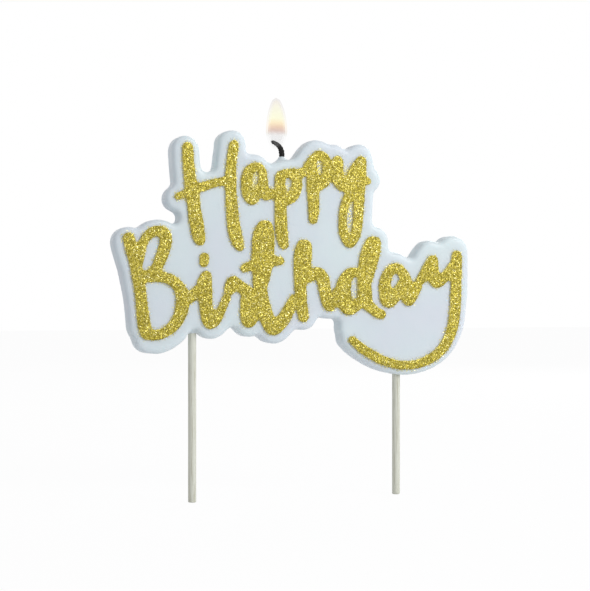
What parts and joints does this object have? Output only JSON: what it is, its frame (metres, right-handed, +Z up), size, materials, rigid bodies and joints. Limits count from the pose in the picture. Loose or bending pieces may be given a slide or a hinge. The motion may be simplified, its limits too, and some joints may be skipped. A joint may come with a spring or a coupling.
{
  "type": "happy birthday letter candle",
  "caption": "Flat wax candle cut to the outline of raised gold glitter greeting letters, with a wick on top and wooden picks below that push into a cake.",
  "frame": {"origin": "midway between the picks on their centre plane, at the level of the cake's top once the picks are pushed in", "axes": "+X along the words as they are read, +Y from the lettered front of the wax to its back, +Z up"},
  "size_m": [0.1481, 0.0095, 0.146],
  "materials": {
    "wax": "poured paraffin wax, pale blue-white, satin, slightly translucent",
    "gold_glitter": "fine gold glitter on glue",
    "birch": "plain turned birch, unfinished",
    "wick_cotton": "braided cotton, charred at its end"
  },
  "bodies": {
    "root": {"wax_body": "wax", "wick": "wick_cotton", "pick_left": "birch", "pick_right": "birch", "letter_H": "gold_glitter", "letter_a_1": "gold_glitter", "letter_p_1": "gold_glitter", "letter_p_2": "gold_glitter", "letter_y_1": "gold_glitter", "letter_B": "gold_glitter", "letter_i": "gold_glitter", "letter_i_dot": "gold_glitter", "letter_r": "gold_glitter", "letter_t": "gold_glitter", "letter_h": "gold_glitter", "letter_d": "gold_glitter", "letter_a_2": "gold_glitter", "letter_y_2": "gold_glitter"}
  },
  "joints": []
}
